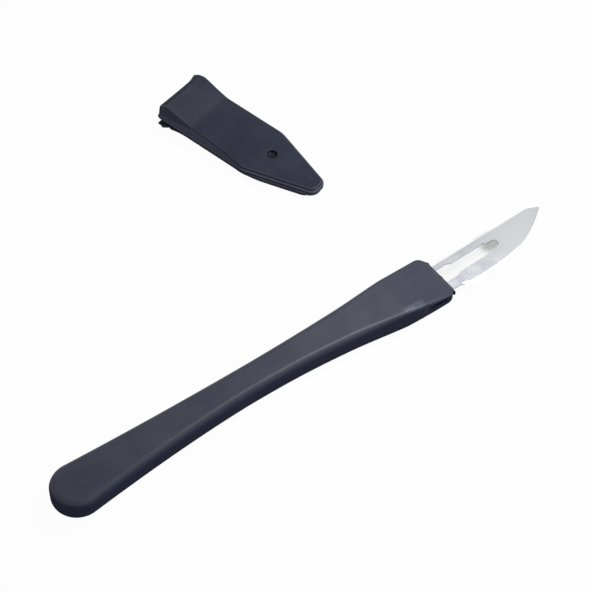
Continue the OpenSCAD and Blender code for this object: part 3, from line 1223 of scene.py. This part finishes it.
    def seam(self, point: Vector) -> float:
        """Height of the rim's underside: the seam gapes at the mouth."""
        return self.gape / 2 * max(0.0, 1 - self.mouth(point) / self.gape_l)

    def rim(self, point: Vector) -> float:
        """How far the rim stands out at a point.

        Args:
            point: A point on the outline.

        Returns:
            The distance.
        """
        least = 0.1
        if self.half is Half.UPPER or point.y > 0:
            return least + (self.rim_out - least) * slide(point.x, 0.0, 0.7)
        lip = 0.4 * (1 - slide(point.x, 3.0, 8.0))
        knob = 0.4 * swell(point.x, 2.4, 0.6)
        notch = 0.45 * swell(point.x, 3.9, 0.35)
        tip = 0.7 * slide(point.x, 24.0, 32.0) * (1 - slide(point.x, 41.5, 44.0))
        return self.rim_out + least + lip + knob - notch + tip

    def ceiling(self, point: Vector) -> float:
        """Height of the hollow at a point, with a boss under the dimple.

        Args:
            point: A point on the panel.

        Returns:
            The height.
        """
        at_mouth = self.thickness / 2 + self.flare - self.wall * 1.4
        at_seat, boss_h = 1.25, 0.4
        if point.x < self.seat_x:
            return at_mouth + (at_seat - at_mouth) * point.x / self.seat_x
        step = 1 - slide(point.x, self.seat_x, self.seat_x + 0.15)
        away = math.hypot(point.x - self.dimple_at[0], point.y - self.dimple_at[1])
        boss = boss_h * (1 - slide(away, self.dimple_r + 0.4, self.dimple_r + 1.2))
        return self.chamber + (at_seat - self.chamber) * step - boss

    def build(self) -> bpy.types.Object:
        """Builds the shell.

        Returns:
            The object.
        """
        plate = self._skin()
        plate.join(self._inside())
        bm = plate.bm
        mouth = [e for e in bm.edges if e.is_boundary]
        bmesh.ops.holes_fill(bm, edges=mouth, sides=0)
        bmesh.ops.triangulate(bm, faces=[f for f in bm.faces if len(f.verts) > 4])
        self._hollow_mouth(bm)
        made = finish_mesh(bm, self.half.value + "_moulding", SHARP_GUARD)
        if self.half is Half.UPPER:
            carve(made, self._dimple(), Cut.TAKE, SHARP_GUARD)
            pip = lump((*self.pip_at, self.thickness / 2), (0.3, 0.3, 0.1))
            carve(made, pip, Cut.ADD, SHARP_GUARD)
        self._place(made)
        return made

    def _sheet(self) -> Plate:
        """Draws a flat sheet in the panel's outline.

        Returns:
            The sheet.
        """
        left = self.outline(self.tip_r_far)
        right = [(x, -y) for x, y in self.outline(self.tip_r_near)]
        return Plate(left, right, 21, Cap.OPEN)

    def _skin(self) -> Plate:
        """Draws the outer face, the edge, the rim, the underside and the inner wall.

        Returns:
            The plate, open at the mouth.
        """
        steps = 5
        plate = self._sheet()
        plate.round_over(self.lean, self.rounding, self.roof, steps)

        def top(p: Vector) -> float:
            """Height of the rim's upper side."""
            return self.seam(p) + self.rim_h

        def soft(p: Vector) -> float:
            """Rounding of the rim."""
            return 0.3 * self.rim(p)

        dip = 0.12
        rings: tuple[tuple[Field, Field], ...] = (
            (self.foot, lambda p: min(top(p) + soft(p), self.roof(p) - self.rounding(p))),
            (lambda p: self.foot(p) - 0.3 * soft(p), lambda p: top(p) + 0.3 * soft(p)),
            (lambda p: self.foot(p) - soft(p), top),
            (lambda p: soft(p) - self.rim(p), lambda p: top(p) - dip),
            (lambda p: 0.3 * soft(p) - self.rim(p), lambda p: top(p) - dip - 0.3 * soft(p)),
            (lambda p: -self.rim(p), lambda p: top(p) - dip - soft(p)),
            (lambda p: -self.rim(p), lambda p: self.seam(p) + soft(p)),
            (lambda p: soft(p) - self.rim(p), self.seam),
            (self.inner, self.seam),
            (lambda p: self.inner(p) + self.lean(p), self.ceiling))
        for inset, height in rings:
            plate.ring(inset, height)
        return plate

    def _inside(self) -> Plate:
        """Draws the ceiling of the hollow, which meets the inner wall's last ring.

        Returns:
            The ceiling.
        """
        plate = self._sheet()
        plate.lay(lambda p: self.inner(p) + self.lean(p), self.ceiling)
        return plate

    def _hollow_mouth(self, bm: bmesh.types.BMesh) -> None:
        """Draws the middle of the mouth's edge back and its far corner out.

        Args:
            bm: The shell's mesh, with its seam at zero.
        """
        fade_l = 3.0
        for vert in bm.verts:
            fade = max(0.0, 1 - self.mouth(vert.co) / fade_l)
            across = min(1.0, abs(vert.co.y) / (self.width / 2))
            vert.co.x += self.mouth_hollow * (1 - across * across) * fade
            vert.co.x -= self.far_corner * slide(vert.co.y, 3.5, 6.8) * fade

    def _dimple(self) -> bpy.types.Object:
        """The round cutter of the dimple in the panel.

        Returns:
            The cutter.
        """
        bm = bmesh.new()
        top = self.thickness / 2
        r, h = self.dimple_r, self.dimple_h
        profile = ((0, -h), (r - 0.15, -h), (r - 0.05, -h + 0.06), (r, -h + 0.2), (r, -0.08),
                   (r + 0.03, -0.03), (r + 0.1, 0.01), (r + 0.1, 1.0), (0, 1.0))
        verts = [bm.verts.new((x, 0, top + z)) for x, z in profile]
        edges = [bm.edges.new(pair) for pair in zip(verts, verts[1:])]
        bmesh.ops.spin(bm, geom=verts + edges, cent=(0, 0, 0), axis=(0, 0, 1), angle=math.tau, steps=48,
                       use_merge=True)
        bmesh.ops.translate(bm, vec=(*self.dimple_at, 0), verts=bm.verts)
        return finish_mesh(bm, "dimple_cutter")

    def _place(self, made: bpy.types.Object) -> None:
        """Paints shade into the dimple, turns the lower shell over and lays the guard on its lip and its
        tip.

        Args:
            made: The shell's object.
        """
        bm = bmesh.new()
        bm.from_mesh(made.data)
        if self.half is Half.LOWER:
            bmesh.ops.scale(bm, vec=(1, 1, -1), verts=bm.verts)
            bmesh.ops.reverse_faces(bm, faces=bm.faces)
        lip_x = self.lower_setback + self.lip
        lip_half = self.thickness / 2 + self.flare_down * (self.collar_l - lip_x) / self.collar_l
        tip_x = self.length - self.rim_out - 0.3
        pitch = math.atan((lip_half - self.thickness / 2) / (tip_x - lip_x))
        rise = lip_half * math.cos(pitch) + lip_x * math.sin(pitch)
        # Painted shade: vertices of the dimple's floor and wall get a share of near black.
        painted_shade = bm.verts.layers.float.new("painted_shade")
        near, dimple_shade = 0.05, 0.75
        low, high = (self.thickness / 2 - self.dimple_h - near) * MM, (self.thickness / 2 - 2 * near) * MM
        for vert in bm.verts:
            away = math.hypot(vert.co.x / MM - self.dimple_at[0], vert.co.y / MM - self.dimple_at[1])
            if self.half is Half.UPPER and away < self.dimple_r + near and low < vert.co.z < high:
                vert[painted_shade] = dimple_shade
        lay = Matrix.Translation((self.at[0] * MM, self.at[1] * MM, rise * MM)) @ \
            Matrix.Rotation(math.radians(self.turn), 4, "Z") @ Matrix.Rotation(pitch, 4, "Y")
        bmesh.ops.transform(bm, matrix=lay, verts=bm.verts)
        bm.to_mesh(made.data)
        bm.free()
        made.data.set_sharp_from_angle(angle=math.radians(SHARP_GUARD))

    def dress(self, piece: bpy.types.Object) -> None:
        """Gives the shell its plastic.

        Args:
            piece: The shell's object.
        """
        # Painted light and shade: the walls' own, lighter colour and the paler rounded edges.
        finish = CharcoalPlastic(self.half.value + " plastic", dark=shade(0.016, 0.0185, 0.030),
                                 light=shade(0.024, 0.0265, 0.041), roughness=0.42, shine=0.06,
                                 side=shade(0.057, 0.061, 0.090), edge_highlight=0.6, marks=False)
        mark_sides(piece)
        piece.data.materials.clear()
        piece.data.materials.append(finish.make())
        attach(piece, "root")
        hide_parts(self.half.value)


# Studio

RIGHT = Vector((0.80799, -0.58920, 0.0))
AWAY = Vector((0.58920, 0.80799, 0.0))
UP = Vector((0, 0, 1))
TARGET = Vector((25.119, 16.4, 0.0)) * MM


@dataclass(frozen=True)
class Softbox:
    """A soft lamp, placed by the camera's own directions, in metres."""

    name: str
    right: float
    away: float
    up: float
    width: float
    height: float
    watts: float

    def hang(self) -> None:
        """Adds the lamp, turned to the object."""
        data = bpy.data.lights.new(self.name, "AREA")
        data.shape, data.size, data.size_y, data.energy = "RECTANGLE", self.width, self.height, self.watts
        lamp = add_object(self.name, data)
        lamp.location = TARGET + RIGHT * self.right + AWAY * self.away + UP * self.up
        lamp.rotation_euler = (lamp.location - TARGET).to_track_quat("Z", "Y").to_euler()


@dataclass
class Studio:
    """Camera, pale floor, white surroundings and one soft lamp."""

    elevation: float = 51.0
    distance: float = 443.0
    lens: float = 117.73
    fill: float = 0.3
    lamp: Softbox = Softbox("overhead softbox", right=0.08, away=0.055, up=0.2, width=0.13,
                            height=0.09, watts=0.61)

    def camera(self) -> None:
        """Adds the camera at the photograph's angle."""
        data = bpy.data.cameras.new("camera")
        data.sensor_fit, data.sensor_width, data.lens = "HORIZONTAL", 36.0, self.lens
        data.clip_start, data.clip_end = 0.01, 10.0
        camera = add_object("camera", data)
        e = math.radians(self.elevation)
        back = -AWAY * math.cos(e) + UP * math.sin(e)
        up = back.cross(RIGHT)
        turn = Matrix((RIGHT, up, back)).transposed().to_4x4()
        camera.matrix_world = Matrix.Translation(TARGET + back * self.distance * MM) @ turn
        bpy.context.scene.camera = camera

    def floor(self) -> None:
        """Adds the white table, just clear of the part, with a soft shade drawn under the blade's slot."""
        gap = 0.05 * MM
        bm = bmesh.new()
        bmesh.ops.create_grid(bm, x_segments=1, y_segments=1, size=3.0)
        bmesh.ops.translate(bm, vec=(0, 0, -gap), verts=bm.verts)
        table = add_object("table", new_mesh(bm, "table"))
        material = bpy.data.materials.new("white table")
        graph = Graph(material)
        along = graph.axis(0)
        under = graph.window(along, (52.0, 54.0), (73.0, 75.0)) * \
            graph.window(graph.axis(1), (-2.0, -0.6), (5.0, 6.4))
        plain, light, painted_shade = 0.97, 0.11, 0.47
        shown = plain - under * (light + graph.band(along, 67.4, 69.8) * painted_shade)
        matt = graph.node("ShaderNodeBsdfDiffuse", {}, {"Color": shade(0.4, 0.4, 0.41)})
        white = graph.node("ShaderNodeEmission", {}, {"Color": shade(1, 1, 1), "Strength": 1.0})
        both = graph.node("ShaderNodeMixShader", {}, {0: (graph.seen() * shown).clip(), 1: matt, 2: white})
        graph.finish("ShaderNodeOutputMaterial", both)
        table.data.materials.append(material)

    def surroundings(self) -> None:
        """White surroundings, seen as white and giving a plain soft fill."""
        world = bpy.data.worlds.new("surroundings")
        bpy.context.scene.world = world
        graph = Graph(world)
        strength = graph.seen() * (1 - self.fill) + self.fill
        back = graph.node("ShaderNodeBackground", {}, {"Color": shade(1, 1, 1), "Strength": strength})
        graph.finish("ShaderNodeOutputWorld", back)

    def build(self) -> None:
        """Sets everything up."""
        self.camera()
        self.floor()
        self.surroundings()
        self.lamp.hang()
        bpy.context.scene.view_settings.view_transform = "Standard"


def main() -> None:
    """Builds and dresses every piece."""
    logging.basicConfig(level=logging.INFO, format="%(name)s: %(message)s")
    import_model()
    Studio().build()
    upper = GuardShell(Half.UPPER, flare=2.7, setback=0.0, gape=0.9)
    lower = GuardShell(Half.LOWER, upper.flare_down, upper.lower_setback, gape=1.3)
    for part in (Handle(), Blade(), upper, lower):
        piece = part.build()
        part.dress(piece)
        log.info("%s: %d faces", piece.name, len(piece.data.polygons))


if __name__ == "__main__":
    main()
